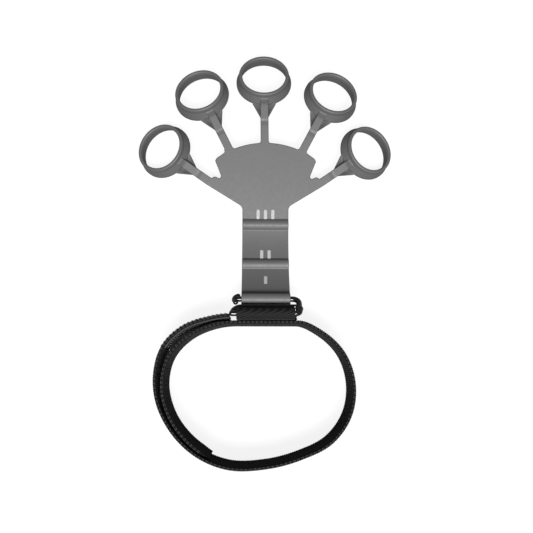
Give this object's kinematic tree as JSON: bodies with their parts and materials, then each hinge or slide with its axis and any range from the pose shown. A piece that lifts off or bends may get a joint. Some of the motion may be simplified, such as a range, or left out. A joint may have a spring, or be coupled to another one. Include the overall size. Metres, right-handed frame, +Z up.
{
  "type": "finger exerciser",
  "caption": "Silicone hand with finger rings on radiating arms and a strip with cross tunnels, held by a plastic hook on a hook-and-loop wrist band.",
  "frame": {"origin": "bottom centre of the whole object's box as it stands: the band on its edge and the two outer rings on the table", "axes": "+X across the hand, +Y from the wrist band towards the fingers, +Z up"},
  "size_m": [0.1376, 0.214, 0.0277],
  "materials": {
    "silicone": "matte moulded silicone",
    "mark_ink": "matte print",
    "hook_plastic": "glossy moulded",
    "band_fabric": "brushed loop pile, ribbed edges",
    "webbing": "diagonal weave",
    "hook_tape": "moulded hook field on woven ground",
    "thread": "twisted polyester thread"
  },
  "bodies": {
    "palm": {"palm_plate": "silicone"},
    "strip": {"strip": "silicone", "level_mark_3": "mark_ink", "level_mark_2": "mark_ink", "level_mark_1": "mark_ink"},
    "arm_1": {"finger_arm_1": "silicone"},
    "ring_1": {"finger_ring_1": "silicone"},
    "arm_2": {"finger_arm_2": "silicone"},
    "ring_2": {"finger_ring_2": "silicone"},
    "arm_3": {"finger_arm_3": "silicone"},
    "ring_3": {"finger_ring_3": "silicone"},
    "arm_4": {"finger_arm_4": "silicone"},
    "ring_4": {"finger_ring_4": "silicone"},
    "arm_5": {"finger_arm_5": "silicone"},
    "ring_5": {"finger_ring_5": "silicone"},
    "hook": {"g_hook": "hook_plastic"},
    "strap": {"wrist_band": "band_fabric", "keeper_webbing": "webbing", "keeper_stitches": "thread"},
    "band_end": {"band_tail": "band_fabric", "hook_tape": "hook_tape", "hook_tape_stitches": "thread"}
  },
  "joints": [
    {"name": "strip_bend", "type": "hinge", "parent": "palm", "child": "strip", "pos_m": [0, 0.02637, 0.00794], "axis": [1, 0, 0], "range_deg": [-25, 25], "stiffness_Nm_per_rad": 0.3},
    {"name": "arm_1_bend", "type": "hinge", "parent": "palm", "child": "arm_1", "pos_m": [-0.03094, 0.03855, 0.01066], "axis": [0.565, 0.8052, 0.18], "range_deg": [-35, 35], "stiffness_Nm_per_rad": 0.2},
    {"name": "arm_1_stretch", "type": "slide", "parent": "arm_1", "child": "ring_1", "axis": [-0.8251, 0.5514, 0.1232], "range_m": [0, 0.012], "stiffness_N_per_m": 200},
    {"name": "arm_2_bend", "type": "hinge", "parent": "palm", "child": "arm_2", "pos_m": [-0.02032, 0.05629, 0.01463], "axis": [0.8886, 0.4476, 0.1001], "range_deg": [-35, 35], "stiffness_Nm_per_rad": 0.2},
    {"name": "arm_2_stretch", "type": "slide", "parent": "arm_2", "child": "ring_2", "axis": [-0.4586, 0.8672, 0.1938], "range_m": [0, 0.012], "stiffness_N_per_m": 200},
    {"name": "arm_3_bend", "type": "hinge", "parent": "palm", "child": "arm_3", "pos_m": [-0.00061, 0.06042, 0.01555], "axis": [0.9999, 0.0136, 0.003], "range_deg": [-35, 35], "stiffness_Nm_per_rad": 0.2},
    {"name": "arm_3_stretch", "type": "slide", "parent": "arm_3", "child": "ring_3", "axis": [-0.014, 0.9758, 0.2181], "range_m": [0, 0.012], "stiffness_N_per_m": 200},
    {"name": "arm_4_bend", "type": "hinge", "parent": "palm", "child": "arm_4", "pos_m": [0.02073, 0.05608, 0.01458], "axis": [0.8838, -0.4567, -0.1021], "range_deg": [-35, 35], "stiffness_Nm_per_rad": 0.2},
    {"name": "arm_4_stretch", "type": "slide", "parent": "arm_4", "child": "ring_4", "axis": [0.4679, 0.8625, 0.1928], "range_m": [0, 0.012], "stiffness_N_per_m": 200},
    {"name": "arm_5_bend", "type": "hinge", "parent": "palm", "child": "arm_5", "pos_m": [0.03094, 0.03855, 0.01066], "axis": [0.565, -0.8052, -0.18], "range_deg": [-35, 35], "stiffness_Nm_per_rad": 0.2},
    {"name": "arm_5_stretch", "type": "slide", "parent": "arm_5", "child": "ring_5", "axis": [0.8251, 0.5514, 0.1232], "range_m": [0, 0.012], "stiffness_N_per_m": 200},
    {"name": "hook_swing", "type": "hinge", "parent": "strip", "child": "hook", "pos_m": [0, -0.02547, 0.01679], "axis": [1, 0, 0], "range_deg": [-45, 45]},
    {"name": "strap_swing", "type": "hinge", "parent": "hook", "child": "strap", "pos_m": [0, -0.03332, 0.0248], "axis": [1, 0, 0], "range_deg": [-120, 12]},
    {"name": "band_peel", "type": "hinge", "parent": "strap", "child": "band_end", "pos_m": [-0.0533, -0.06222, 0], "axis": [0, 0, 1], "range_deg": [0, 60]}
  ]
}
